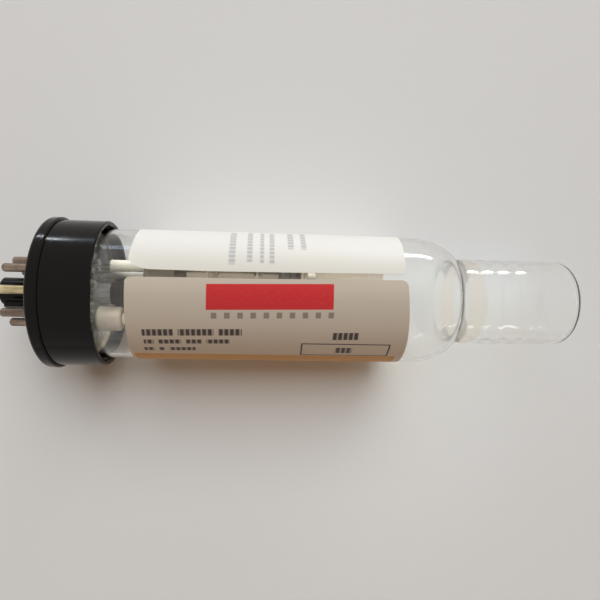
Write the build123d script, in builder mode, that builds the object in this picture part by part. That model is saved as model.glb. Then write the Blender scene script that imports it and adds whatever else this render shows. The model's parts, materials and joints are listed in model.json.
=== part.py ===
from build123d import *
import os
from math import asin, cos, degrees, radians, sin

# A hollow cathode lamp for an atomic absorption spectrometer, in millimetres.
# The optical axis is +X, from the contact pins towards the window. The origin lies on that axis,
# in the back face of the base flange. +Z is up as the lamp lies on a table.
# Angles round the axis are in degrees from +Z towards +Y.
os.makedirs("parts", exist_ok=True)

# Moulded base: a flanged cup with a keyed locating spigot, as on an octal tube base
cup_gap = 0.8
cup_wall = 1.36
cup_height = 15.9
cup_rim_chamfer = 0.35
flange_lip = 0.74
flange_thickness = 3.2
flange_back_round = 1.1
flange_front_bevel = 0.4
cup_floor = 3.0
spigot_r = 3.9
spigot_length = 14.4
spigot_bore_r = 2.9
spigot_end_wall = 1.2
spigot_tip_chamfer = 0.9
key_width = 2.3
key_reach = 5.1
key_length = 12.6
key_angle = -67.5

# Contact pins, riveted into the cup floor, with a solder cup in the head of each
pin_count = 8
pin_circle_d = 17.45
pin_r = 1.18
pin_shank_r = 1.34
pin_length = 11.9
pin_tip_round = 0.85
solder_cup_r = 0.75
solder_cup_depth = 2.6
pin_head_r = 1.75
pin_head_thickness = 0.6
pin_turn = 2.7
pin_clearance = 0.02

# Glass envelope: tube, shoulder and the start of the neck are one blown piece
tube_r = 18.5
tube_wall = 1.2
tube_back = 5.0
tube_back_round = 0.5
shoulder_start = 102.5
shoulder_length = 14.8
shoulder_tuck = 1.9
shoulder_root_round = 1.0
neck_r = 12.5
seal_start = 118.2
seal_bands = 4
seal_band_width = 5.0
seal_band_swell = 0.16
window_end = 151.4
window_thickness = 1.2
window_corner_r = 3.0

# Cement that holds the envelope in the cup
cement_back = 5.6
cement_front = 12.2
cement_clearance = 0.03

# Button stem that closes the back of the envelope and carries the leads
stem_back = 8.4
stem_thickness = 3.0
stem_clearance = 0.03
stem_nose_r = 2.8
stem_nose_front = 18.6
stem_nose_root_round = 1.2
bead_r = 1.9
bead_height = 1.1
bead_round = 0.5
exhaust_r = 2.2
exhaust_bore_r = 1.0
exhaust_back = -11.4
exhaust_seal = 1.8
exhaust_tip_round = 1.6

# Leads and supports, each at its own radius on the stem
lead_r = 0.55
lead_clearance = 0.02
cathode_lead_radius = 7.3
anode_lead_radius = 8.0
stub_radius = 7.5
stub_tail = 2.6
lead_end_gap = 0.3
lead_bend_r = 3.0
lead_bend_start = 4.6
lead_bend_end = 7.6

# Ceramic insulating sleeves
cathode_sleeve_r = 3.5
cathode_sleeve_length = 7.0
cathode_sleeve_round = 0.9
cathode_tube_r = 1.7
anode_sleeve_r = 1.75
anode_sleeve_back = 15.6
anode_sleeve_front = 33.4
front_sleeve_r = 1.3
front_sleeve_back = 43.6
sleeve_clearance = 0.06
sleeve_end_round = 0.3

# Rear shield: a pressed nickel cup on the ends of the stem's supports
shield_back = 27.4
shield_front = 35.6
shield_gap = 3.3
shield_sheet = 0.6
shield_corner_r = 1.2

# Centre tube between the stem's nose and the rear shield
centre_tube_r = 3.3
centre_tube_back = 16.4
vent_r = 0.8
vent_place = 22.0

# Mica discs that centre the electrodes in the envelope
mica_thickness = 0.5
mica_clearance = 0.2
rear_mica_back = 44.6
centre_mica_back = 57.6
front_mica_back = 69.5
mica_hole_clearance = 0.08
mica_notch_r = 1.3
mica_notch_count = 6
front_mica_window_r = 5.2
collar_r = 1.3
collar_length = 1.0

# Support rods from the rear shield to the cathode holder
rod_r = 0.7
rod_inset = 1.4
rod_front = 71.0

# Cathode, its ring of emitting metal and the dish that holds it
cathode_r = 4.5
cathode_back = 51.0
cathode_front = 68.2
cathode_bore_r = 2.3
cathode_bore_depth = 13.5
cathode_chamfer = 0.4
emitter_wall = 0.7
holder_back = 64.4
holder_front = 68.4
holder_gap = 0.3
holder_sheet = 0.6
holder_hub_wall = 1.1
holder_bead_width = 1.0
holder_bead_depth = 0.3

# Anode ring in front of the cathode
anode_back = 72.0
anode_width = 2.2
anode_r = 10.0
anode_sheet = 0.8
anode_lead_inset = 2.1
anode_bend_start = 35.2
anode_bend_end = 42.0
anode_lug_width = 2.8
anode_lug_end = 1.4

# Printed paper label, wrapped round the tube with its two ends apart
label_back = 23.8
label_front = 98.6
label_paper = 0.15
label_clearance = 0.02
slit_angle = 17.0
slit_width = 1.9
slit_back_corner_r = 5.0
slit_small_corner_r = 1.6

cup_bore_r = tube_r + cup_gap
cup_r = cup_bore_r + cup_wall
flange_r = cup_r + flange_lip
pin_circle_r = pin_circle_d / 2
pin_pitch = 360 / pin_count
anode_angle = pin_turn + 2 * pin_pitch
cathode_angle = pin_turn - 2 * pin_pitch
stub_angles = [pin_turn + pin_pitch, pin_turn + 3 * pin_pitch, pin_turn - 3 * pin_pitch]
rod_angles = [pin_turn - pin_pitch, pin_turn + 3 * pin_pitch, pin_turn - 3 * pin_pitch]
pin_head_front = cup_floor + pin_head_thickness
lead_back = pin_head_front - solder_cup_depth + lead_end_gap
tube_bore_r = tube_r - tube_wall
shoulder_drop = tube_r - neck_r + shoulder_tuck
stem_front = stem_back + stem_thickness
bead_front = stem_front + bead_height
cathode_sleeve_front = bead_front + cathode_sleeve_length
shield_floor = shield_back + shield_sheet
shield_r = tube_bore_r - shield_gap
anode_lead_out = tube_bore_r - anode_lead_inset
holder_r = anode_lead_out - front_sleeve_r - holder_gap
holder_inner_r = holder_r - holder_sheet
rod_radius = holder_inner_r - rod_inset
mica_r = tube_bore_r - mica_clearance
seal_front = seal_start + seal_bands * seal_band_width
window_corner_back = window_end - window_corner_r
label_bore_r = tube_r + label_clearance


def radial_plane(angle):
    """Plane through the lamp's axis: local x runs along the axis, local y outwards at the angle."""
    turn = radians(angle)
    return Plane(origin=(0, 0, 0), x_dir=(1, 0, 0), z_dir=(0, -cos(turn), sin(turn)))


def across(x):
    """Plane across the axis at x: local x is +Y and local y is +Z."""
    return Plane(origin=(x, 0, 0), x_dir=(0, 1, 0), z_dir=(1, 0, 0))


def spot(angle, radius):
    """Where an angle and a radius fall on a plane across the axis."""
    return (radius * sin(radians(angle)), radius * cos(radians(angle)))


def side_axis(angle, radius):
    """Line parallel to the lamp's axis, at an angle and a radius."""
    y, z = spot(angle, radius)
    return Axis((0, y, z), (1, 0, 0))


def save(piece, name):
    piece.part.label = name
    export_step(piece.part, f"parts/{name}.step")


# Base shell: turned outline, then the key, the pin holes and the hollow spigot
with BuildPart() as base_shell:
    with BuildSketch(Plane.XY):
        with BuildLine():
            Polyline(
                (-spigot_length, 0),
                (-spigot_length, spigot_r),
                (0, spigot_r),
                (0, flange_r),
                (flange_thickness, flange_r),
                (flange_thickness, cup_r),
                (cup_height, cup_r),
                (cup_height, cup_bore_r),
                (cup_floor, cup_bore_r),
                (cup_floor, 0),
                (-spigot_length, 0),
            )
        make_face()
    revolve(axis=Axis.X)
    with BuildSketch(across(0)):
        with Locations(spot(key_angle, key_reach / 2)):
            Rectangle(key_width, key_reach, rotation=-key_angle)
    extrude(amount=-key_length)
    rims = base_shell.edges().filter_by(GeomType.CIRCLE)
    flange_rims = rims.filter_by(lambda e: abs(e.radius - flange_r) < 0.01)
    fillet(flange_rims.sort_by(Axis.X)[0], flange_back_round)
    rims = base_shell.edges().filter_by(GeomType.CIRCLE)
    flange_rims = rims.filter_by(lambda e: abs(e.radius - flange_r) < 0.01)
    chamfer(flange_rims.sort_by(Axis.X)[-1], flange_front_bevel)
    rims = base_shell.edges().filter_by(GeomType.CIRCLE)
    chamfer(rims.filter_by(lambda e: abs(e.arc_center.X - cup_height) < 0.01), cup_rim_chamfer)
    rims = base_shell.edges().filter_by(GeomType.CIRCLE)
    chamfer(rims.sort_by(Axis.X)[0], spigot_tip_chamfer)
    with BuildSketch(across(cup_floor)):
        with Locations([spot(pin_turn + pin_pitch * i, pin_circle_r) for i in range(pin_count)]):
            Circle(pin_shank_r + pin_clearance)
    extrude(amount=-cup_floor, mode=Mode.SUBTRACT)
    with BuildSketch(across(cup_floor)):
        Circle(spigot_bore_r)
    extrude(amount=-(cup_floor + spigot_length - spigot_end_wall), mode=Mode.SUBTRACT)
save(base_shell, "base_shell")

# Contact pins: turned, with a round tip, a thicker shank in the flange and a riveted head with a
# solder cup on the cup floor
for i in range(pin_count):
    pin_angle = pin_turn + pin_pitch * i
    with BuildPart() as contact_pin:
        with BuildSketch(radial_plane(pin_angle)):
            with BuildLine():
                Polyline(
                    (-pin_length, pin_circle_r),
                    (-pin_length, pin_circle_r + pin_r),
                    (0, pin_circle_r + pin_r),
                    (0, pin_circle_r + pin_shank_r),
                    (cup_floor, pin_circle_r + pin_shank_r),
                    (cup_floor, pin_circle_r + pin_head_r),
                    (pin_head_front, pin_circle_r + pin_head_r),
                    (pin_head_front, pin_circle_r + solder_cup_r),
                    (pin_head_front - solder_cup_depth, pin_circle_r + solder_cup_r),
                    (pin_head_front - solder_cup_depth, pin_circle_r),
                    (-pin_length, pin_circle_r),
                )
            make_face()
        revolve(axis=side_axis(pin_angle, pin_circle_r))
        fillet(contact_pin.edges().filter_by(GeomType.CIRCLE).sort_by(Axis.X)[0], pin_tip_round)
    save(contact_pin, f"contact_pin_{i + 1}")

# Cement ring between the cup and the envelope
with BuildPart() as base_cement:
    with BuildSketch(across(cement_back)):
        Circle(cup_bore_r - cement_clearance)
        Circle(tube_r + cement_clearance, mode=Mode.SUBTRACT)
    extrude(amount=cement_front - cement_back)
save(base_cement, "base_cement")


def shoulder_arc(wall):
    """Quarter-ellipse of the shoulder, from the tube down to the neck, a wall's thickness inside."""
    drop = shoulder_drop - wall
    end = degrees(asin((neck_r - wall - tube_r + shoulder_drop) / drop))
    centre = (shoulder_start, tube_r - shoulder_drop)
    return EllipticalCenterArc(centre, shoulder_length - wall, drop, end, arc_size=90 - end)


# Glass envelope: tube, shoulder and neck as one wall of even thickness
with BuildPart() as glass_bulb:
    with BuildSketch(Plane.XY):
        with BuildLine():
            outer_shoulder = shoulder_arc(0)
            inner_shoulder = shoulder_arc(tube_wall)
            Line((tube_back, tube_r), (shoulder_start, tube_r))
            Polyline(
                outer_shoulder @ 0,
                (seal_start, neck_r),
                (seal_start, neck_r - tube_wall),
                inner_shoulder @ 0,
            )
            Polyline((shoulder_start, tube_bore_r), (tube_back, tube_bore_r), (tube_back, tube_r))
        make_face()
    revolve(axis=Axis.X)
    rings = glass_bulb.edges().filter_by(GeomType.CIRCLE)
    roots = rings.filter_by(lambda e: shoulder_start + 1 < e.arc_center.X < seal_start - 1)
    fillet(roots, shoulder_root_round)
    rings = glass_bulb.edges().filter_by(GeomType.CIRCLE)
    fillet(rings.filter_by(lambda e: abs(e.arc_center.X - tube_back) < 0.01), tube_back_round)
save(glass_bulb, "glass_bulb")

# Graded seal: fused rings of glass, each a little swollen, that join the envelope to the silica
with BuildPart() as graded_seal:
    with BuildSketch(Plane.XY):
        with BuildLine():
            for i in range(seal_bands):
                band_back = seal_start + seal_band_width * i
                ThreePointArc(
                    (band_back, neck_r),
                    (band_back + seal_band_width / 2, neck_r + seal_band_swell),
                    (band_back + seal_band_width, neck_r),
                )
            Polyline(
                (seal_front, neck_r),
                (seal_front, neck_r - tube_wall),
                (seal_start, neck_r - tube_wall),
                (seal_start, neck_r),
            )
        make_face()
    revolve(axis=Axis.X)
save(graded_seal, "graded_seal")

# Silica neck between the graded seal and the window
with BuildPart() as window_neck:
    with BuildSketch(across(seal_front)):
        Circle(neck_r)
        Circle(neck_r - tube_wall, mode=Mode.SUBTRACT)
    extrude(amount=window_corner_back - seal_front)
save(window_neck, "window_neck")

# Window: a flat silica disc whose rim is drawn round into the neck
with BuildPart() as window_disc:
    with BuildSketch(Plane.XY):
        with BuildLine():
            corner = (window_corner_back, neck_r - window_corner_r)
            outer_corner = CenterArc(corner, window_corner_r, 0, 90)
            inner_corner = CenterArc(corner, window_corner_r - window_thickness, 0, 90)
            Polyline(
                outer_corner @ 0,
                (window_end, 0),
                (window_end - window_thickness, 0),
                inner_corner @ 0,
            )
            Line(inner_corner @ 1, outer_corner @ 1)
        make_face()
    revolve(axis=Axis.X)
save(window_disc, "window_disc")

# Button stem: glass disc with a bead for each lead, a hollow nose and the tipped-off exhaust tube
stem_leads = [spot(cathode_angle, cathode_lead_radius), spot(anode_angle, anode_lead_radius)]
stem_leads += [spot(angle, stub_radius) for angle in stub_angles]
with BuildPart() as glass_stem:
    with BuildSketch(Plane.XY):
        with BuildLine():
            FilletPolyline(
                (exhaust_back, 0),
                (exhaust_back, exhaust_r),
                (stem_back, exhaust_r),
                (stem_back, tube_bore_r - stem_clearance),
                (stem_front, tube_bore_r - stem_clearance),
                (stem_front, stem_nose_r),
                (stem_nose_front, stem_nose_r),
                (stem_nose_front, 0),
                radius=[exhaust_tip_round, stem_nose_root_round, 0, 0, stem_nose_root_round, bead_round],
            )
            Line((stem_nose_front, 0), (exhaust_back, 0))
        make_face()
    revolve(axis=Axis.X)
    with BuildSketch(across(stem_front)):
        with Locations(stem_leads):
            Circle(bead_r)
    extrude(amount=bead_height)
    bead_rims = glass_stem.edges().filter_by(GeomType.CIRCLE)
    fillet(bead_rims.filter_by(lambda e: abs(e.arc_center.X - bead_front) < 0.01), bead_round)
    with BuildSketch(across(bead_front)):
        with Locations(stem_leads):
            Circle(lead_r + lead_clearance)
    extrude(amount=-(bead_front - stem_back), mode=Mode.SUBTRACT)
    with BuildSketch(across(stem_nose_front)):
        Circle(exhaust_bore_r)
    extrude(amount=-(stem_nose_front - exhaust_back - exhaust_seal), mode=Mode.SUBTRACT)
save(glass_stem, "glass_stem")


def save_lead(name, angle, route, bends):
    """One round lead along a route of (x, radius) corners in the plane at its angle."""
    with BuildPart() as lead:
        with BuildLine(radial_plane(angle)) as centre_line:
            FilletPolyline(*route, radius=[lead_bend_r] * bends)
        y, z = spot(angle, pin_circle_r)
        with BuildSketch(Plane(origin=(lead_back, y, z), x_dir=(0, 1, 0), z_dir=(1, 0, 0))):
            Circle(lead_r)
        sweep(path=centre_line.line)
    save(lead, name)


# Cathode lead: from its pin's solder cup, through the stem, to the back of the rear shield
cathode_route = [
    (lead_back, pin_circle_r),
    (lead_bend_start, pin_circle_r),
    (lead_bend_end, cathode_lead_radius),
    (shield_back, cathode_lead_radius),
]
save_lead("cathode_lead", cathode_angle, cathode_route, 2)

# Anode lead: the same way in, then out past the shield to the anode ring's lug
anode_route = [
    (lead_back, pin_circle_r),
    (lead_bend_start, pin_circle_r),
    (lead_bend_end, anode_lead_radius),
    (anode_bend_start, anode_lead_radius),
    (anode_bend_end, anode_lead_out),
    (anode_back + anode_width, anode_lead_out),
]
save_lead("anode_lead", anode_angle, anode_route, 4)

# Support stubs, sealed in the stem, that carry the rear shield
for i, stub_angle in enumerate(stub_angles):
    with BuildPart() as support_stub:
        with BuildSketch(across(stem_back - stub_tail)):
            with Locations(spot(stub_angle, stub_radius)):
                Circle(lead_r)
        extrude(amount=shield_back - stem_back + stub_tail)
    save(support_stub, f"support_stub_{i + 1}")


def save_sleeve(name, place, outer_r, back, front, end_round=sleeve_end_round):
    """Ceramic tube over a lead, along the axis at a place across it, with rounded ends."""
    with BuildPart() as sleeve:
        with BuildSketch(across(back)):
            with Locations(place):
                Circle(outer_r)
                Circle(lead_r + sleeve_clearance, mode=Mode.SUBTRACT)
        extrude(amount=front - back)
        rims = sleeve.edges().filter_by(GeomType.CIRCLE)
        fillet(rims.filter_by(lambda e: abs(e.radius - outer_r) < 0.01), end_round)
    save(sleeve, name)


cathode_place = spot(cathode_angle, cathode_lead_radius)
anode_place = spot(anode_angle, anode_lead_radius)
front_place = spot(anode_angle, anode_lead_out)
cathode_bead = ("cathode_sleeve", cathode_place, cathode_sleeve_r)
save_sleeve(*cathode_bead, bead_front, cathode_sleeve_front, cathode_sleeve_round)
save_sleeve("cathode_tube", cathode_place, cathode_tube_r, cathode_sleeve_front, shield_back)
save_sleeve("anode_sleeve", anode_place, anode_sleeve_r, anode_sleeve_back, anode_sleeve_front)
save_sleeve("anode_front_sleeve", front_place, front_sleeve_r, front_sleeve_back, anode_back)

# Rear shield: pressed cup, open to the front, with a hole for the anode's sleeve
with BuildPart() as rear_shield:
    with BuildSketch(Plane.XY):
        with BuildLine():
            FilletPolyline(
                (shield_back, 0),
                (shield_back, shield_r),
                (shield_front, shield_r),
                radius=[shield_corner_r],
            )
            Line((shield_front, shield_r), (shield_front, shield_r - shield_sheet))
            FilletPolyline(
                (shield_front, shield_r - shield_sheet),
                (shield_floor, shield_r - shield_sheet),
                (shield_floor, 0),
                radius=[shield_corner_r - shield_sheet],
            )
            Line((shield_floor, 0), (shield_back, 0))
        make_face()
    revolve(axis=Axis.X)
    with BuildSketch(across(shield_back)):
        with Locations(anode_place):
            Circle(anode_sleeve_r + sleeve_clearance)
    extrude(amount=shield_sheet, mode=Mode.SUBTRACT)
save(rear_shield, "rear_shield")

# Centre tube over the stem's nose, with a cross hole through which the envelope is pumped
with BuildPart() as centre_tube:
    with BuildSketch(across(centre_tube_back)):
        Circle(centre_tube_r)
        Circle(stem_nose_r + lead_clearance, mode=Mode.SUBTRACT)
    extrude(amount=shield_back - centre_tube_back)
    with BuildSketch(Plane.XY):
        with Locations((vent_place, 0)):
            Circle(vent_r)
    extrude(amount=centre_tube_r, both=True, mode=Mode.SUBTRACT)
save(centre_tube, "centre_tube")

# Support rods from the rear shield's floor, through the micas and the cathode holder
for i, rod_angle in enumerate(rod_angles):
    with BuildPart() as support_rod:
        with BuildSketch(across(shield_floor)):
            with Locations(spot(rod_angle, rod_radius)):
                Circle(rod_r)
        extrude(amount=rod_front - shield_floor)
    save(support_rod, f"support_rod_{i + 1}")

rod_places = [spot(angle, rod_radius) for angle in rod_angles]
mica_backs = {
    "rear_mica": rear_mica_back,
    "centre_mica": centre_mica_back,
    "front_mica": front_mica_back,
}
mica_windows = {
    "rear_mica": vent_r,
    "centre_mica": cathode_r + lead_clearance,
    "front_mica": front_mica_window_r,
}
notch_places = [spot(360 / mica_notch_count * (i + 0.5), mica_r) for i in range(mica_notch_count)]

# Mica discs: punched for the rods, the anode's sleeve and the cathode, with notches for the gas
for mica_name, mica_back in mica_backs.items():
    with BuildPart() as mica_disc:
        with BuildSketch(across(mica_back)):
            Circle(mica_r)
            Circle(mica_windows[mica_name], mode=Mode.SUBTRACT)
            with Locations(notch_places):
                Circle(mica_notch_r, mode=Mode.SUBTRACT)
            with Locations(rod_places):
                Circle(rod_r + mica_hole_clearance, mode=Mode.SUBTRACT)
            with Locations(front_place):
                Circle(front_sleeve_r + mica_hole_clearance, mode=Mode.SUBTRACT)
        extrude(amount=mica_thickness)
    save(mica_disc, mica_name)

# Collars pressed on the rods, one on each side of each mica disc
with BuildPart() as mica_collars:
    for mica_back in mica_backs.values():
        for collar_back in (mica_back - collar_length, mica_back + mica_thickness):
            with BuildSketch(across(collar_back)):
                with Locations(rod_places):
                    Circle(collar_r)
                    Circle(rod_r + lead_clearance, mode=Mode.SUBTRACT)
            extrude(amount=collar_length)
save(mica_collars, "mica_collars")

# Cathode: a turned cup, open to the window
with BuildPart() as cathode_cup:
    with BuildSketch(across(cathode_back)):
        Circle(cathode_r)
    extrude(amount=cathode_front - cathode_back)
    chamfer(cathode_cup.edges().filter_by(GeomType.CIRCLE), cathode_chamfer)
    with BuildSketch(across(cathode_front)):
        Circle(cathode_bore_r)
    extrude(amount=-cathode_bore_depth, mode=Mode.SUBTRACT)
save(cathode_cup, "cathode_cup")

# Emitter: a thin cup of the metal whose light the lamp gives, pressed into the cathode
with BuildPart() as cathode_emitter:
    with BuildSketch(across(cathode_front - cathode_bore_depth)):
        Circle(cathode_bore_r - lead_clearance)
    extrude(amount=cathode_bore_depth)
    with BuildSketch(across(cathode_front)):
        Circle(cathode_bore_r - lead_clearance - emitter_wall)
    extrude(amount=-(cathode_bore_depth - emitter_wall), mode=Mode.SUBTRACT)
save(cathode_emitter, "cathode_emitter")

# Cathode holder: a pressed dish whose hub grips the cathode and whose rim has a rolled bead
holder_middle = (holder_back + holder_front) / 2
holder_hub_bore_r = cathode_r + lead_clearance
holder_hub_r = holder_hub_bore_r + holder_hub_wall
bead_back_x = holder_middle - holder_bead_width / 2
bead_front_x = holder_middle + holder_bead_width / 2
with BuildPart() as cathode_holder:
    with BuildSketch(Plane.XY):
        with BuildLine():
            Polyline((holder_back, holder_hub_bore_r), (holder_back, holder_r), (bead_back_x, holder_r))
            ThreePointArc(
                (bead_back_x, holder_r),
                (holder_middle, holder_r - holder_bead_depth),
                (bead_front_x, holder_r),
            )
            Polyline(
                (bead_front_x, holder_r),
                (holder_front, holder_r),
                (holder_front, holder_inner_r),
                (bead_front_x, holder_inner_r),
            )
            ThreePointArc(
                (bead_front_x, holder_inner_r),
                (holder_middle, holder_inner_r - holder_bead_depth),
                (bead_back_x, holder_inner_r),
            )
            Polyline(
                (bead_back_x, holder_inner_r),
                (holder_back + holder_sheet, holder_inner_r),
                (holder_back + holder_sheet, holder_hub_r),
                (holder_front, holder_hub_r),
                (holder_front, holder_hub_bore_r),
                (holder_back, holder_hub_bore_r),
            )
        make_face()
    revolve(axis=Axis.X)
    with BuildSketch(across(holder_back)):
        with Locations(rod_places):
            Circle(rod_r + lead_clearance)
    extrude(amount=holder_sheet, mode=Mode.SUBTRACT)
save(cathode_holder, "cathode_holder")

# Anode: a ring in front of the cathode, with a lug punched for its lead
with BuildPart() as anode_ring:
    with BuildSketch(across(anode_back)):
        Circle(anode_r)
        Circle(anode_r - anode_sheet, mode=Mode.SUBTRACT)
    extrude(amount=anode_width)
    lug_inner = anode_r - anode_sheet / 2
    lug_outer = anode_lead_out + anode_lug_end
    with BuildSketch(across(anode_back)):
        with Locations(spot(anode_angle, (lug_inner + lug_outer) / 2)):
            Rectangle(anode_lug_width, lug_outer - lug_inner, rotation=-anode_angle)
    extrude(amount=anode_sheet)
    with BuildSketch(across(anode_back)):
        with Locations(front_place):
            Circle(lead_r + lead_clearance)
    extrude(amount=anode_sheet, mode=Mode.SUBTRACT)
save(anode_ring, "anode_ring")

# Label: one wrapped sheet whose ends leave a narrow slit, with rounded corners
slit_turn = radians(slit_angle)
slit_plane = Plane(origin=(0, 0, 0), x_dir=(1, 0, 0), z_dir=(0, sin(slit_turn), cos(slit_turn)))
slit_edge = slit_width / 2
slit_corners = [
    (label_back, 1, slit_edge, 1, slit_back_corner_r),
    (label_back, 1, -slit_edge, -1, slit_small_corner_r),
    (label_front, -1, slit_edge, 1, slit_small_corner_r),
    (label_front, -1, -slit_edge, -1, slit_small_corner_r),
]
with BuildPart() as label:
    with BuildSketch(across(label_back)):
        Circle(label_bore_r + label_paper)
        Circle(label_bore_r, mode=Mode.SUBTRACT)
    extrude(amount=label_front - label_back)
    with BuildSketch(slit_plane):
        with Locations(((label_back + label_front) / 2, 0)):
            Rectangle(label_front - label_back, slit_width)
        for x, x_way, y, y_way, corner_r in slit_corners:
            bulge = corner_r * (1 - cos(radians(45)))
            with BuildLine():
                Polyline((x, y + y_way * corner_r), (x, y), (x + x_way * corner_r, y))
                ThreePointArc(
                    (x + x_way * corner_r, y),
                    (x + x_way * bulge, y + y_way * bulge),
                    (x, y + y_way * corner_r),
                )
            make_face()
    extrude(amount=label_bore_r + 2 * label_paper, mode=Mode.SUBTRACT)
save(label, "label")
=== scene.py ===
# %% [markdown]
# # Hollow cathode lamp
# This lamp shines light of one metal into a spectrometer. A black moulded base with eight pins
# carries a glass envelope. Through the glass show the white ceramic sleeves of the leads, and
# round it goes a printed label. The solids come from the CAD model and keep their places. This
# script dresses them: it makes the glass and the label anew, where the light asks for finer shapes,
# and gives each solid a finish. First the stage is cleared and the solids are loaded.

# %% Load the solids
import json
import math

import bpy
from mathutils import Matrix, Vector

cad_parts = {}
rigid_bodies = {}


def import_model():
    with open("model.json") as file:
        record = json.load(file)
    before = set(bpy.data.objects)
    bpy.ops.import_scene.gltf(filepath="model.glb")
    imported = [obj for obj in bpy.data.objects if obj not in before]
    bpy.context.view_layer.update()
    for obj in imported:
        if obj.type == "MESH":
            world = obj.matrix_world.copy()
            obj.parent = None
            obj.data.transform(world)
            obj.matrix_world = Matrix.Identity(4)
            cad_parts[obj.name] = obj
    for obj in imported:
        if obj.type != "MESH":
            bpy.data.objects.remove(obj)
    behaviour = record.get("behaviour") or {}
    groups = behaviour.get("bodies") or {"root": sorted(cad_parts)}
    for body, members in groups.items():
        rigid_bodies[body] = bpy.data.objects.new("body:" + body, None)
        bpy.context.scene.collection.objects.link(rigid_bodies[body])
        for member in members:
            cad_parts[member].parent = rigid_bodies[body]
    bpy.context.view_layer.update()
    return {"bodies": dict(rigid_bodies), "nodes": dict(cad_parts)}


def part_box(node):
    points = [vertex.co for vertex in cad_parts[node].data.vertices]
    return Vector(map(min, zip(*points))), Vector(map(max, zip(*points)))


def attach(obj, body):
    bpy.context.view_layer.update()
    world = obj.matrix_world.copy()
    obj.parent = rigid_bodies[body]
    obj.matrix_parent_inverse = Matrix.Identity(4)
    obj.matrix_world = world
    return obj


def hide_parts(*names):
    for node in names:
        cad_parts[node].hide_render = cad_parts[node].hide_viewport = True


for thing in list(bpy.data.objects):
    bpy.data.objects.remove(thing, do_unlink=True)
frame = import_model()
body = next(iter(frame["bodies"]))
MM = 0.001
print("solids:", len(frame["nodes"]), "body:", body)

# %% [markdown]
# The stage is a plain pale table. The lamp lies on its flange and on the front edge of its label,
# so its axis leans a little, and the table is tilted under it by that angle instead of the lamp.
# A single large quad is enough, because nothing on it needs a shape.

# %% Table
flange_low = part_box("base_shell")[0].z
label_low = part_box("label")[0].z
label_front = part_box("label")[1].x
flange_edge = 2.8 * MM
table_slope = math.atan2(label_low - flange_low, label_front - flange_edge)
bpy.ops.mesh.primitive_plane_add(size=8.0)
table = bpy.context.object
table.name = "table"
table.rotation_euler = (0, -table_slope, 0)
table.location = (flange_edge, 0, flange_low - 0.04 * MM)
print("table leans by", round(math.degrees(table_slope), 2), "degrees")

# %% [markdown]
# The camera stands close above the lamp and looks almost straight down. At close range the near
# side of the tube swells, so the distance matters more than the lens. A Track To constraint could
# aim it, but the camera is also rolled a little, so it gets its own three unit vectors instead:
# right, up and back.

# %% Camera
right = Vector((0.99672, 0.0220, 0.0779))
up = Vector((-0.02193, 0.99976, -0.00171))
back = right.cross(up).normalized()
camera_data = bpy.data.cameras.new("camera")
camera_data.sensor_width = 36
camera_data.lens = 31.86
camera_data.clip_start = 0.01
camera = bpy.data.objects.new("camera", camera_data)
turn = Matrix((right, up, back)).transposed().to_4x4()
camera.matrix_world = Matrix.Translation((58.3 * MM, -0.73 * MM, 157.36 * MM)) @ turn
bpy.context.scene.collection.objects.link(camera)
bpy.context.scene.camera = camera
print("camera", [round(v, 4) for v in camera.location])

# %% [markdown]
# Light: a long soft window stands low beyond the lamp and a wide soft ceiling hangs overhead, while
# the room gives a warmer fill. The low window draws the bright lines along the glass. The ceiling is
# hidden from mirror reflections, as if the camera stood in its way, so that the black base stays
# black. The window's far end only shows as a bluish line on the base, so its two lights are seen in
# reflections and light nothing else. An object's ray visibility switches do both.

# %% Lights
middle = Vector((0.07, 0, 0))


def soft_light(name, place, width, height, strength, colour, mirrored, lighting=True):
    lamp = bpy.data.lights.new(name, "AREA")
    lamp.shape = "RECTANGLE"
    lamp.size = width
    lamp.size_y = height
    lamp.energy = strength
    lamp.color = colour
    carrier = bpy.data.objects.new(name, lamp)
    carrier.location = place
    carrier.rotation_euler = (middle - Vector(place)).to_track_quat("-Z", "Y").to_euler()
    carrier.visible_glossy = mirrored
    carrier.visible_transmission = mirrored
    carrier.visible_diffuse = lighting
    bpy.context.scene.collection.objects.link(carrier)
    print("light", name, strength)


soft_light("window", (0.72, 1.90, 0.05), 0.72, 0.11, 12.5, (0.91, 0.98, 1.0), True)
soft_light("far window", (-0.65, 1.90, 0.045), 1.2, 0.11, 1.7, (0.62, 0.80, 1.0), True, False)
soft_light("far pane", (-0.70, 1.88, 0.05), 0.08, 0.07, 1.3, (0.9, 0.96, 1.0), True, False)
soft_light("ceiling", (0.05, 1.42, 2.00), 2.0, 2.1, 46.5, (0.91, 0.965, 0.985), False)
bpy.context.scene.view_settings.view_transform = "Standard"

# %% [markdown]
# Shader maths reads best as plain sums. `Signal` wraps a socket and overloads the operators, so
# `1 - mask` adds a Math node and links it. `Finish` holds one material and has one method, `node`,
# for every other kind of node: its settings are set first, then the values or links of its sockets.
# `blend` mixes two colours, `noise` is a cloud of values, `stretched` pulls the space it is read in,
# `ease` is a soft step, `band` a soft window between two places, and `bump` feeds the normal.

# %% Shader helpers
class Signal:
    def __init__(self, finish, socket):
        self.finish = finish
        self.socket = socket

    def maths(self, operation, first, second=0.0):
        sockets = {0: first, 1: second}
        return self.finish.node("ShaderNodeMath", {"operation": operation}, sockets)

    def __add__(self, other):
        return self.maths("ADD", self, other)

    def __sub__(self, other):
        return self.maths("SUBTRACT", self, other)

    def __rsub__(self, other):
        return self.maths("SUBTRACT", other, self)

    def __mul__(self, other):
        return self.maths("MULTIPLY", self, other)

    def __truediv__(self, other):
        return self.maths("DIVIDE", self, other)

    def most(self, other):
        return self.maths("MAXIMUM", self, other)

    __radd__ = __add__
    __rmul__ = __mul__


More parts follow.
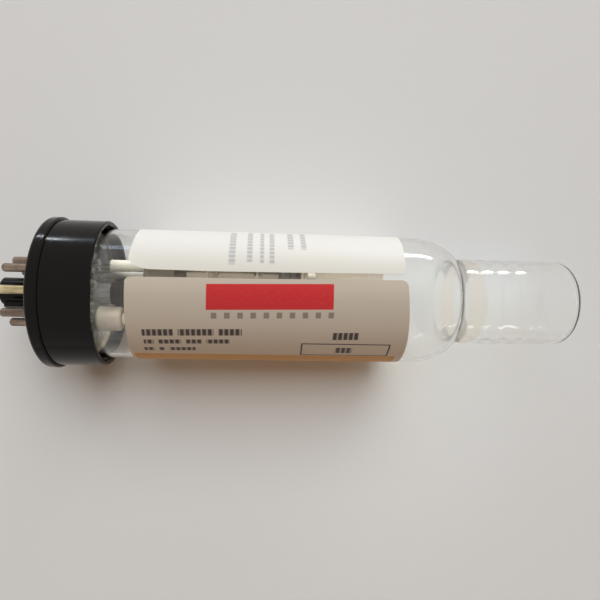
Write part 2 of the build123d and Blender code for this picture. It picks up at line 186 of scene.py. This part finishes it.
class Finish:
    def __init__(self, name, **plain):
        self.material = bpy.data.materials.new(name + "_finish")
        self.material.use_nodes = True
        self.tree = self.material.node_tree
        self.shader = self.tree.nodes["Principled BSDF"]
        self.out = self.tree.nodes["Material Output"]
        for socket, value in plain.items():
            self.shader.inputs[socket.replace("_", " ")].default_value = value
        self.place = self.node("ShaderNodeTexCoord", {}, {}, "Object")

    def node(self, kind, settings, sockets, out=0):
        made = self.tree.nodes.new(kind)
        for key, value in settings.items():
            setattr(made, key, value)
        for key, value in sockets.items():
            self.join(value, made.inputs[key])
        return Signal(self, made.outputs[out])

    def join(self, value, socket):
        if isinstance(value, Signal):
            self.tree.links.new(value.socket, socket)
        elif isinstance(value, tuple) and len(value) == 3 and socket.type == "RGBA":
            socket.default_value = (*value, 1)
        else:
            socket.default_value = value

    def feed(self, name, value):
        self.join(value, self.shader.inputs[name])

    def blend(self, factor, first, second):
        settings = {"data_type": "RGBA"}
        return self.node("ShaderNodeMix", settings, {0: factor, 6: first, 7: second}, 2)

    def noise(self, scale, detail=3.0, roughness=0.5, place=None):
        sockets = {"Vector": place or self.place, "Scale": scale, "Detail": detail, "Roughness": roughness}
        return self.node("ShaderNodeTexNoise", {}, sockets)

    def stretched(self, scale):
        sockets = {0: self.place, 1: scale}
        return self.node("ShaderNodeVectorMath", {"operation": "MULTIPLY"}, sockets)

    def ease(self, value, start, end):
        settings = {"interpolation_type": "SMOOTHSTEP"}
        sockets = {"Value": value, "From Min": start, "From Max": end}
        return self.node("ShaderNodeMapRange", settings, sockets)

    def band(self, value, start, end, soft):
        return self.ease(value, start - soft, start + soft) * (1 - self.ease(value, end - soft, end + soft))

    def split(self):
        place = self.node("ShaderNodeSeparateXYZ", {}, {0: self.place})
        axes = place.socket.node.outputs
        return [Signal(self, axes[i]) for i in range(3)]

    def bump(self, height, distance, strength=1.0):
        sockets = {"Height": height, "Distance": distance, "Strength": strength}
        self.feed("Normal", self.node("ShaderNodeBump", {}, sockets))


def dress(finish, *names):
    for name in names:
        solid = frame["nodes"][name]
        solid.data.materials.clear()
        solid.data.materials.append(finish.material)
    print(finish.material.name, "->", ", ".join(names))


# %% [markdown]
# The room is the world's colour: a dim warm grey that fills the shadows. Where the camera, a
# reflection or the glass looks past the table, it shows a plain pale wall instead. A real backdrop
# could stand there, but it would throw its own light on the lamp. Light Path tells the kinds of
# rays apart, so one colour lights and the other is seen.

# %% Room
class Room(Finish):
    def __init__(self, world):
        self.tree = world.node_tree
        self.light = self.tree.nodes["Background"]


world = bpy.data.worlds.new("room")
world.use_nodes = True
bpy.context.scene.world = world
room = Room(world)
looked_at = room.node("ShaderNodeLightPath", {}, {}, "Is Camera Ray")
looked_at = looked_at.most(room.node("ShaderNodeLightPath", {}, {}, "Is Glossy Ray"))
looked_at = looked_at.most(room.node("ShaderNodeLightPath", {}, {}, "Is Transmission Ray"))
wall_colour = room.blend(looked_at, (0.165, 0.105, 0.06), (0.74, 0.735, 0.72))
room.join(wall_colour, room.light.inputs["Color"])
print("room of", len(world.node_tree.nodes), "nodes")

# %% [markdown]
# The table's finish: a pale laminate with the faintest mottling, so that it doesn't look like paper.
# Light Path makes it pale where it is looked at, straight, mirrored or through glass, while the
# light that it throws back on the lamp stays a little dimmer and warmer, as from a table in a
# room's corner.

# %% Table finish
laminate = Finish("pale_laminate", Roughness=0.55)
cloud = laminate.noise(9.0, 4.0)
grain = laminate.noise(900.0, 2.0)
seen = laminate.node("ShaderNodeLightPath", {}, {}, "Is Camera Ray")
seen = seen.most(laminate.node("ShaderNodeLightPath", {}, {}, "Is Glossy Ray"))
seen = seen.most(laminate.node("ShaderNodeLightPath", {}, {}, "Is Transmission Ray"))
pale = laminate.blend(cloud * 0.5 + grain * 0.2, (0.89, 0.90, 0.91), (0.95, 0.96, 0.97))
laminate.feed("Base Color", laminate.blend(seen, (0.70, 0.58, 0.47), pale))
laminate.bump(grain, 0.00002, 0.3)
table.data.materials.append(laminate.material)
print(laminate.material.name, "-> table")

# %% [markdown]
# The envelope is one blown piece of glass: tube, shoulder, a neck with fused rings where one glass
# changes to the next, and a flat window. It is turned here as one closed wall, outside and inside,
# because stacked separate solids would show a dark joint at every touch. The outline is a list of
# (along, radius) pairs in millimetres, and an inset of one wall gives the inside. Hot glass keeps no
# crease, so the root between shoulder and neck is softened by averaging neighbours. The rings swell
# by a tenth or two of a millimetre, which breaks the light's line on the neck into dashes.

# %% Envelope outline
tube_r = 18.5
tube_back = 5.0
wall = 1.2
neck_r = 12.5
shoulder_start = 102.5
shoulder_length = 14.0
shoulder_drop = 7.9
root_rise = 0.35
root_length = 0.6
seal_start = 117.5
seal_rings = 4
ring_width = 5.0
ring_swell = 0.16
softened_from = 111
softened_to = 122
window_front = 151.4
corner_r = 3.0
window_rings = (8.0, 6.0, 4.0, 2.0)


def shoulder_line(inset, steps=26):
    reach = shoulder_length - inset
    drop = shoulder_drop - inset
    floor = tube_r - shoulder_drop
    root = math.asin((neck_r - inset - floor + root_rise) / drop)
    turns = [math.pi / 2 + (root - math.pi / 2) * i / steps for i in range(steps + 1)]
    return [(shoulder_start + reach * math.cos(t), floor + drop * math.sin(t)) for t in turns]


def neck_line(inset, steps=64):
    start = shoulder_start + shoulder_length + root_length
    end = window_front - corner_r
    line = []
    for i in range(steps + 1):
        along = start + (end - start) * i / steps
        phase = (along - seal_start) / ring_width
        swell = 0.0
        if 0 <= phase <= seal_rings:
            swell = ring_swell * math.sin(math.pi * phase) ** 2
        if inset:
            swell = 0.85 * swell
        line.append((along, neck_r - inset + swell))
    return line


def corner_line(inset, steps=10):
    radius = corner_r - inset
    turns = [math.pi / 2 * (1 - i / steps) for i in range(1, steps + 1)]
    centre = (window_front - corner_r, neck_r - corner_r)
    return [(centre[0] + radius * math.cos(t), centre[1] + radius * math.sin(t)) for t in turns]


def tube_line(radius, steps=40):
    return [(tube_back + (shoulder_start - tube_back) * i / steps, radius) for i in range(steps)]


def softened(line, passes=2):
    for _ in range(passes):
        smooth = list(line)
        for i in range(1, len(line) - 1):
            if softened_from < line[i][0] < softened_to:
                radius = (line[i - 1][1] + 2 * line[i][1] + line[i + 1][1]) / 4
                smooth[i] = (line[i][0], radius)
        line = smooth
    return line


outer = tube_line(tube_r) + shoulder_line(0) + neck_line(0) + corner_line(0)
outer += [(window_front, r) for r in window_rings]
inner = tube_line(tube_r - wall) + shoulder_line(wall) + neck_line(wall) + corner_line(wall)
inner += [(window_front - wall, r) for r in window_rings]
outer = softened(outer)
inner = softened(inner)
lip = [(4.78, tube_r - 0.35), (4.7, tube_r - wall / 2), (4.78, tube_r - wall + 0.35)]
outline = outer[::-1] + lip + inner
print("outline of the envelope:", len(outline), "points")

# %% [markdown]
# A lathe turns the outline: every pair becomes a ring of points, neighbouring rings are joined by
# quads, and the two open ends close in a fan at the middle of the window. Blender's Screw modifier
# could turn it too, but points made in Python can also be nudged: real glass is never quite round,
# so each ring is moved in and out by a few hundredths of a millimetre.

# %% Turn the envelope
def new_object(name, points, faces, finish):
    mesh = bpy.data.meshes.new(name)
    mesh.from_pydata(points, [], faces)
    mesh.polygons.foreach_set("use_smooth", [True] * len(faces))
    mesh.materials.append(finish.material)
    mesh.validate()
    made = bpy.data.objects.new(name, mesh)
    bpy.context.scene.collection.objects.link(made)
    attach(made, body)
    print(name, len(faces), "faces")
    return made


def out_of_round(along, angle):
    slow = 0.020 * math.sin(2 * angle + 0.05 * along)
    return slow + 0.012 * math.sin(3 * angle - 0.11 * along + 1.3)


def turned(outline, around):
    points = []
    for along, radius in outline:
        for j in range(around):
            angle = 2 * math.pi * j / around
            r = (radius + out_of_round(along, angle)) * MM
            points.append((along * MM, r * math.sin(angle), r * math.cos(angle)))
    faces = []
    for i in range(len(outline) - 1):
        for j in range(around):
            k = (j + 1) % around
            faces.append((i * around + j, i * around + k, (i + 1) * around + k, (i + 1) * around + j))
    for ring, along in ((0, outline[0][0]), (len(outline) - 1, outline[-1][0])):
        points.append((along * MM, 0, 0))
        hub = len(points) - 1
        for j in range(around):
            pair = (ring * around + j, ring * around + (j + 1) % around)
            faces.append((hub, *pair[::-1]) if ring == 0 else (hub, *pair))
    return points, faces


# %% [markdown]
# Glass finish: clear, with the faint drawing lines that run along a drawn tube. The ring
# next to the shoulder is a tan glass, and each joint between rings is a little darker. Light Path
# lets shadow rays pass, so that the lamps reach what is inside without a thousand samples. At the
# root the curve bends light so strongly that it would look like a black wire, so part of it passes
# straight there.

# %% Glass finish
glass = Finish("envelope_glass", Roughness=0.0, IOR=1.47, Transmission_Weight=1.0)
x = glass.split()[0]
joints = 0.0
for i in range(seal_rings + 1):
    edge = (seal_start + ring_width * i) * MM
    joints = glass.band(x, edge - 0.0002, edge + 0.0002, 0.0003) + joints
tan = glass.band(x, 0.1176, 0.1224, 0.0004)
clear = glass.blend(tan, (0.990, 0.987, 0.978), (0.975, 0.928, 0.86))
glass.feed("Base Color", glass.blend(joints * 0.25, clear, (0.90, 0.88, 0.85)))
draw_lines = glass.noise(1.0, 2.0, 0.4, glass.stretched((6.0, 900.0, 900.0)))
glass.bump(draw_lines + joints, 0.000004, 0.5)


def pass_light(finish, share, colour, straight=0.0):
    shadow = finish.node("ShaderNodeLightPath", {}, {}, "Is Shadow Ray")
    clear = finish.node("ShaderNodeBsdfTransparent", {}, {"Color": colour})
    solid = Signal(finish, finish.shader.outputs[0])
    mixed = finish.node("ShaderNodeMixShader", {}, {0: (shadow * share).most(straight), 1: solid, 2: clear})
    finish.join(mixed, finish.out.inputs["Surface"])


root = glass.band(x, 0.1148, 0.1178, 0.0010)
pass_light(glass, 1.0, (0.975, 0.967, 0.95), root * 0.42)
around = 192
envelope = new_object("lamp_envelope", *turned(outline, around), glass)
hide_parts("glass_bulb", "graded_seal", "window_neck", "window_disc")

# %% [markdown]
# The label is a paper sheet wrapped round the tube, printed and lightly varnished. Its two long
# ends don't meet: they leave a slit in which the inside shows. A wrapped rectangle of
# CAD would have edges like a machined part. So the sheet is a grid that follows measured edges: the
# slit is slightly crooked, the front edge runs a little askew, the corners are rounded, and the paper
# stands off the glass by a hair where its ends spring up. A spot on it is found by u, which runs from
# the back edge to the front one, and s, which runs from one end of the paper round to the other.

# %% Label edges
sheet_back = 24
sheet_length = 74.2
sheet_turn = 354
mm_per_degree = 0.324
lower_slit = [(23.9, 13.2), (36.7, 13.8), (56, 14.0), (69, 14.6), (90.5, 15.6), (98.5, 16.0)]
upper_slit = [(23.9, 19.9), (29.8, 19.8), (45.8, 19.45), (69, 20.1), (90.5, 21.0), (98.5, 21.3)]
back_edge = [(0, 23.95), (0.4, 24.1), (0.9, 24.7), (1, 24.4)]
front_edge = [(0, 98.2), (0.14, 99.2), (0.5, 99.8), (0.85, 98.6), (1, 97.7)]


def along_line(line, at):
    for (x0, y0), (x1, y1) in zip(line, line[1:]):
        if at <= x1:
            break
    share = min(max((at - x0) / (x1 - x0), 0), 1)
    return y0 + (y1 - y0) * share


def corner_cut(distance, reach, depth):
    if distance >= reach:
        return 0.0
    return depth * (1 - math.sqrt(1 - (1 - distance / reach) ** 2))


def eased_steps(count):
    return [0.5 - 0.5 * math.cos(math.pi * i / count) for i in range(count + 1)]


def sheet_spot(u, s):
    nominal = sheet_back + sheet_length * u
    turn_per_mm = math.degrees(1 / (tube_r + 0.1))
    from_back = sheet_length * u
    from_front = sheet_length * (1 - u)
    low_cut = max(corner_cut(from_back, 1.3, 1.2), corner_cut(from_front, 1.8, 1.9))
    high_cut = max(corner_cut(from_back, 6.0, 3.2), corner_cut(from_front, 1.3, 1.2))
    start = along_line(lower_slit, nominal) - low_cut * turn_per_mm
    end = along_line(upper_slit, nominal) + high_cut * turn_per_mm - 360
    along = along_line(back_edge, s) * (1 - u) + along_line(front_edge, s) * u
    return along, start + s * (end - start)


def stand_off(u, s, along, angle):
    from_low = s * sheet_turn * mm_per_degree
    from_high = (1 - s) * sheet_turn * mm_per_degree
    spring = 0.10 * math.exp(-from_low / 1.6) + 0.16 * math.exp(-from_high / 2.0)
    corner = 0.35 * math.exp(-from_high / 3.5) * math.exp(-u * sheet_length / 4.0)
    ripple = 0.012 * math.sin(along * 0.31 + angle * 0.05) * math.sin(angle * 0.11)
    return 0.042 + spring + corner + ripple


spring_end = stand_off(0, 1, sheet_back, 0)
print("the label's back corner stands off by", round(spring_end, 2), "mm")

# %% [markdown]
# The grid has more columns and rows near its edges, where the paper curves most. It is laid twice,
# one paper's thickness apart, and a rim of quads closes it, so that the sheet is a true solid. A
# Solidify modifier does the same, but here the rim's order stays known.

# %% Label sheet
columns = eased_steps(60)
rows = eased_steps(170)
paper = 0.11
points = []
for layer in (0, paper):
    for s in rows:
        for u in columns:
            along, angle = sheet_spot(u, s)
            r = (tube_r + stand_off(u, s, along, angle) + layer) * MM
            t = math.radians(angle)
            points.append((along * MM, r * math.sin(t), r * math.cos(t)))
wide = len(columns)
tall = len(rows)
half = wide * tall
faces = []
for i in range(tall - 1):
    for j in range(wide - 1):
        a = i * wide + j
        quad = (a, a + 1, a + wide + 1, a + wide)
        faces.append(quad)
        faces.append(tuple(half + k for k in quad[::-1]))
rim = [j for j in range(wide)] + [i * wide + wide - 1 for i in range(1, tall)]
rim += [(tall - 1) * wide + j for j in range(wide - 2, -1, -1)]
rim += [i * wide for i in range(tall - 2, 0, -1)]
for a, b in zip(rim, rim[1:] + rim[:1]):
    faces.append((b, a, half + a, half + b))
print("sheet:", len(points), "points")

# %% [markdown]
# The print is drawn from the place on the sheet: millimetres along the lamp, and degrees round
# it. An image texture would need a drawing to load, while a window in both measures makes one box
# with slightly soft edges, and a row of boxes makes a line of bars. The print was laid a little
# askew, so its level rises along the lamp.

# %% Label boxes
label = Finish("label_paper", Roughness=0.5, Specular_IOR_Level=0.35, Coat_Roughness=0.4)
x, y, z = label.split()
mm = x * 1000.0
radians_round = label.node("ShaderNodeMath", {"operation": "ARCTAN2"}, {0: y, 1: z})
degrees_round = radians_round * 57.29578
level = degrees_round - (mm - 44.7) * 0.07


def box(back, front, low, high, soft=0.12, angle=None):
    angle = angle or level
    return label.band(mm, back, front, soft) * label.band(angle, low, high, soft * 3)


def bars(back, front, low, high, lengths, gap=0.9):
    share = sum(lengths) + gap * (len(lengths) - 1)
    step = (front - back) / share
    start = back
    drawn = 0.0
    for length in lengths:
        drawn = box(start, start + length * step, low, high) + drawn
        start += (length + gap) * step
    return drawn


print("label nodes so far:", len(label.tree.nodes))

# %% [markdown]
# The paper is off-white and a little stained. Just past the slit it is darkened a little by painted
# shade, and the side away from the window has painted shade in warm grey, lighter towards the
# table. Fibre and speckle are two noises, one for the paper and one for how unevenly ink soaks in.

# %% Label paper
fibre = label.noise(420.0, 4.0, 0.6)
speckle = label.noise(2600.0, 2.0, 0.5)
stain = label.noise(38.0, 3.0)
ink_wear = 0.92 + speckle * 0.14
paper_colour = label.blend(stain, (0.87, 0.87, 0.85), (0.90, 0.90, 0.885))
slit_end = 17.0
# Painted shade: the upper sheet is darkened and warmed just past the slit.
past_slit = label.band(degrees_round, slit_end, 60.0, 0.5)
painted_slit_shade = past_slit * (1 - label.ease(degrees_round, 16.0, 60.0))
paper_colour = label.blend(painted_slit_shade * 0.8, paper_colour, (0.76, 0.73, 0.655))
# Painted shade: the side away from the window is warm grey, lighter towards the table.
painted_side_shade = label.band(degrees_round, -170.0, slit_end, 0.5)
painted_shade_height = label.ease(degrees_round, -75.0, 0.0)
painted_shade_colour = label.blend(painted_shade_height, (0.86, 0.745, 0.64), (0.665, 0.585, 0.495))
paper_colour = label.blend(painted_side_shade, paper_colour, painted_shade_colour)
print("label nodes with its paper:", len(label.tree.nodes))

# %% [markdown]
# Each field and row of bars is given by where it starts and ends along the lamp, and between which
# angles. The bars say nothing. A fraction of the place cuts them into small blocks, so that they
# read as print from far off. The long field below is orange, and the one by the slit red.

# %% Label print
dark_rows = [
    (28.0, 54.1, -35.0, -28.6, [6, 7, 4.6]),
    (28.2, 50.9, -44.0, -39.2, [2, 4.6, 3.3, 4.8]),
    (28.0, 41.6, -53.4, -48.8, [2, 1.1, 5.2]),
    (78.4, 85.5, -40.0, -32.6, [1]),
]
faint_rows = [
    (50.2, 51.9, 26, 73),
    (55.0, 56.4, 29, 77),
    (58.5, 59.5, 28, 76),
    (61.0, 62.3, 27, 75),
    (66.0, 67.6, 44, 80),
    (69.6, 71.0, 44, 80),
]
letter_step = label.node("ShaderNodeMath", {"operation": "FRACT"}, {0: mm / 1.45})
turn_step = label.node("ShaderNodeMath", {"operation": "FRACT"}, {0: degrees_round / 4.6})
red = box(44.7, 78.1, -11.9, 9.0)
orange = box(24.8, 97.3, -125.0, -60.0, 0.25, degrees_round)
dark = box(79.6, 84.4, -55.0, -47.0, 0.12, degrees_round)
for row in dark_rows:
    dark = bars(*row) + dark
dark = dark * (0.35 + label.band(letter_step, 0.16, 0.84, 0.07) * 0.65)
frame_box = box(70.1, 94.8, -59.3, -41.9, 0.08, degrees_round)
frame_hole = box(70.55, 94.35, -58.2, -43.1, 0.08, degrees_round)
small_marks = bars(46.0, 78.3, -19.2, -14.2, [1] * 10, 1.35)
dark = dark + (frame_box - frame_hole) + small_marks * 0.6
faint = 0.0
for row in faint_rows:
    faint = box(*row, 0.2, degrees_round) + faint
faint = faint * (0.3 + label.band(turn_step, 0.14, 0.86, 0.08) * 0.7)
print("label nodes with its print:", len(label.tree.nodes))

# %% [markdown]
# The colours go over one another like coats of ink. The varnish is a thin coat whose weight varies.
# The paper's inner face is another finish, raw and matt. Both let shadow rays pass on the window's
# side, because thin paper glows through and lights the inside that shows in the slit.

# %% Label finish
coat = label.blend(red * ink_wear, paper_colour, (0.68, 0.032, 0.038))
coat = label.blend(orange * ink_wear, coat, (0.76, 0.40, 0.10))
coat = label.blend(faint * 0.55, coat, (0.30, 0.31, 0.33))
coat = label.blend(dark * ink_wear, coat, (0.055, 0.035, 0.028))
label.feed("Base Color", coat)
label.feed("Roughness", 0.46 + fibre * 0.16 - red * 0.06)
label.feed("Coat Weight", 0.12 + stain * 0.1)
label.bump(fibre + speckle * 0.4, 0.00002, 0.35)
pass_light(label, label.ease(y, -0.014, -0.006) * 0.95, (1.0, 0.94, 0.86))
back_paper = Finish("label_back", Roughness=0.85)
fleck = back_paper.noise(300.0, 4.0, 0.6)
back_paper.feed("Base Color", back_paper.blend(fleck, (0.90, 0.80, 0.70), (0.95, 0.86, 0.77)))
back_paper.bump(fleck, 0.00002, 0.3)
window_side = back_paper.ease(back_paper.split()[1], -0.014, -0.006)
pass_light(back_paper, window_side * 0.95, (1.0, 0.98, 0.95))
sheet = new_object("label_sheet", points, faces, label)
sheet.data.materials.append(back_paper.material)
for face in sheet.data.polygons:
    if max(face.vertices) < half:
        face.material_index = 1
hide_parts("label")

# %% [markdown]
# The base is moulded from black phenolic resin: glossy, with an orange-peel skin and a few hairline
# scuffs from sockets. These are far thinner than any modelled cut, so a bump and an uneven roughness
# make them. A low specular level keeps the black deep under so pale a room.

# %% Base finish
resin = Finish("base_plastic", Specular_IOR_Level=0.15)
peel = resin.noise(520.0, 2.0, 0.4)
scuff = resin.noise(1.0, 3.0, 0.6, resin.stretched((1600.0, 90.0, 90.0)))
smear = resin.noise(70.0, 3.0)
resin.feed("Base Color", resin.blend(smear, (0.0045, 0.0035, 0.003), (0.009, 0.0065, 0.0055)))
resin.feed("Roughness", 0.10 + resin.ease(scuff, 0.55, 0.75) * 0.12 + smear * 0.06)
resin.bump(peel + scuff * 0.2, 0.00003, 0.35)
dress(resin, "base_shell")

# %% [markdown]
# Pins are nickel-plated brass, gone dull and pinkish-brown with handling. The contacts have rubbed
# lines along them, so the noise is stretched along X: a small scale makes a noise long. One pin is
# rubbed through to the brass, so a function makes the finish in either colour.

# %% Pin finishes
def pin_finish(name, dull, bright):
    plate = Finish(name, Metallic=1.0)
    rubbed = plate.noise(1.0, 4.0, 0.6, plate.stretched((120.0, 1500.0, 1500.0)))
    patch = plate.noise(330.0, 3.0)
    plate.feed("Base Color", plate.blend(plate.ease(patch + rubbed, 0.7, 1.3), dull, bright))
    plate.feed("Roughness", 0.26 + patch * 0.25)
    plate.bump(rubbed, 0.00002, 0.5)
    return plate


pin_names = [f"contact_pin_{i}" for i in range(1, 9)]
dress(pin_finish("pin_metal", (0.17, 0.12, 0.09), (0.34, 0.26, 0.20)), *pin_names[1:])
dress(pin_finish("pin_brass", (0.44, 0.34, 0.18), (0.72, 0.60, 0.38)), pin_names[0])

# %% [markdown]
# Cement, stem glass and ceramics. The cement is a coarse ochre paste, so its bump is strong. The
# stem is pressed lead glass, and lets shadow rays pass as the envelope does. The sleeves are fired
# alumina: chalk white, smoked, or cream where they sit hot. A little subsurface light makes them
# look fired and not painted.

# %% Cement, stem and ceramics
cement = Finish("base_cement")
crumb = cement.noise(700.0, 5.0, 0.65)
cement.feed("Base Color", cement.blend(crumb, (0.30, 0.22, 0.14), (0.52, 0.42, 0.30)))
cement.feed("Roughness", 0.75 + crumb * 0.2)
cement.bump(crumb, 0.0002, 0.6)
dress(cement, "base_cement")


def ceramic_finish(name, pale, dark):
    ceramic = Finish(name, Subsurface_Weight=0.08, Subsurface_Scale=0.0005)
    body_grain = ceramic.noise(1500.0, 3.0, 0.55)
    smoke = ceramic.noise(160.0, 3.0)
    ceramic.feed("Base Color", ceramic.blend(ceramic.ease(smoke, 0.35, 0.8), pale, dark))
    ceramic.feed("Roughness", 0.5 + body_grain * 0.2)
    ceramic.bump(body_grain, 0.00003, 0.4)
    return ceramic


white = ceramic_finish("white_ceramic", (0.95, 0.89, 0.76), (0.90, 0.82, 0.68))
smoked = ceramic_finish("smoked_ceramic", (0.76, 0.65, 0.53), (0.66, 0.55, 0.44))
dress(white, "anode_sleeve")
dress(smoked, "cathode_sleeve")
cream = ceramic_finish("cream_ceramic", (0.80, 0.73, 0.56), (0.64, 0.55, 0.38))
dress(cream, "cathode_tube", "anode_front_sleeve")
stem = Finish("stem_glass", Roughness=0.03, IOR=1.5, Transmission_Weight=0.85)
ripple = stem.noise(260.0, 2.0)
stem.feed("Base Color", stem.blend(ripple, (0.86, 0.84, 0.80), (0.94, 0.93, 0.90)))
stem.bump(ripple, 0.0002, 0.5)
pass_light(stem, 0.9, (0.94, 0.93, 0.90))
dress(stem, "glass_stem")

# %% [markdown]
# Metals of the mount: drawn nickel wires, a shield, a spun steel cathode and its holder, and the
# bright emitter. The shield's and the holder's nickel is darkened with painted shade. Each is one
# metal with a noise stretched the way it was worked: along the wires, and round what was spun. One
# table holds their colours and roughness. The shield stands close under the slit, so it lets part of
# the light pass to the paper behind it.

# %% Mount metals
def metal_finish(name, dark, pale, rough, stretch):
    metal = Finish(name, Metallic=1.0)
    worked = metal.noise(1.0, 4.0, 0.6, metal.stretched(stretch))
    tarnish = metal.noise(210.0, 3.0)
    metal.feed("Base Color", metal.blend(tarnish, dark, pale))
    metal.feed("Roughness", rough + worked * 0.15)
    metal.bump(worked, 0.00002, 0.5)
    return metal


wires = ["cathode_lead", "anode_lead", "support_stub_1", "support_stub_2", "support_stub_3"]
wires += ["support_rod_1", "support_rod_2", "support_rod_3"]
along_x = (60.0, 2400.0, 2400.0)
round_x = (2400.0, 60.0, 60.0)
dress(metal_finish("nickel", (0.62, 0.58, 0.51), (0.80, 0.76, 0.69), 0.22, along_x), *wires)
# Painted shade: the shield's nickel is darkened.
shield = metal_finish("shield_nickel", (0.34, 0.27, 0.20), (0.50, 0.42, 0.33), 0.38, round_x)
pass_light(shield, 0.6, (0.92, 0.84, 0.74))
dress(shield, "rear_shield")
mount_metals = [
    ("burnt_nickel", (0.030, 0.015, 0.010), (0.065, 0.036, 0.024), 0.42, "centre_tube"),
    ("cathode_steel", (0.42, 0.40, 0.37), (0.56, 0.54, 0.50), 0.30, "cathode_cup"),
    # Painted shade: the holder's nickel is darkened.
    ("holder_nickel_painted_shade", (0.20, 0.17, 0.14), (0.38, 0.33, 0.28), 0.34, "cathode_holder"),
    ("emitter_metal", (0.66, 0.68, 0.72), (0.82, 0.83, 0.85), 0.25, "cathode_emitter"),
    ("anode_metal", (0.50, 0.47, 0.43), (0.66, 0.63, 0.58), 0.28, "anode_ring"),
    ("collar_nickel", (0.58, 0.55, 0.50), (0.72, 0.69, 0.63), 0.30, "mica_collars"),
]
for metal_name, dark_tone, pale_tone, rough, piece in mount_metals:
    dress(metal_finish(metal_name, dark_tone, pale_tone, rough, round_x), piece)

# %% [markdown]
# Mica is split to a clear sheet of silvery amber. It stays half see-through, with flakes between
# its layers, and a soft sheen comes from a low roughness. Glass would bend the light here, which a
# sheet this thin doesn't, so Alpha makes it see-through instead.

# %% Mica finish
mica = Finish("mica", Roughness=0.2, Specular_IOR_Level=0.6)
flake = mica.noise(380.0, 4.0, 0.7, mica.stretched((0.2, 1.0, 1.0)))
layers = mica.ease(flake, 0.4, 0.7)
mica.feed("Base Color", mica.blend(layers, (0.42, 0.35, 0.26), (0.58, 0.51, 0.40)))
mica.feed("Alpha", 0.62 + flake * 0.3)
mica.bump(flake, 0.00003, 0.4)
pass_light(mica, 0.6, (0.90, 0.84, 0.72))
dress(mica, "rear_mica", "centre_mica", "front_mica")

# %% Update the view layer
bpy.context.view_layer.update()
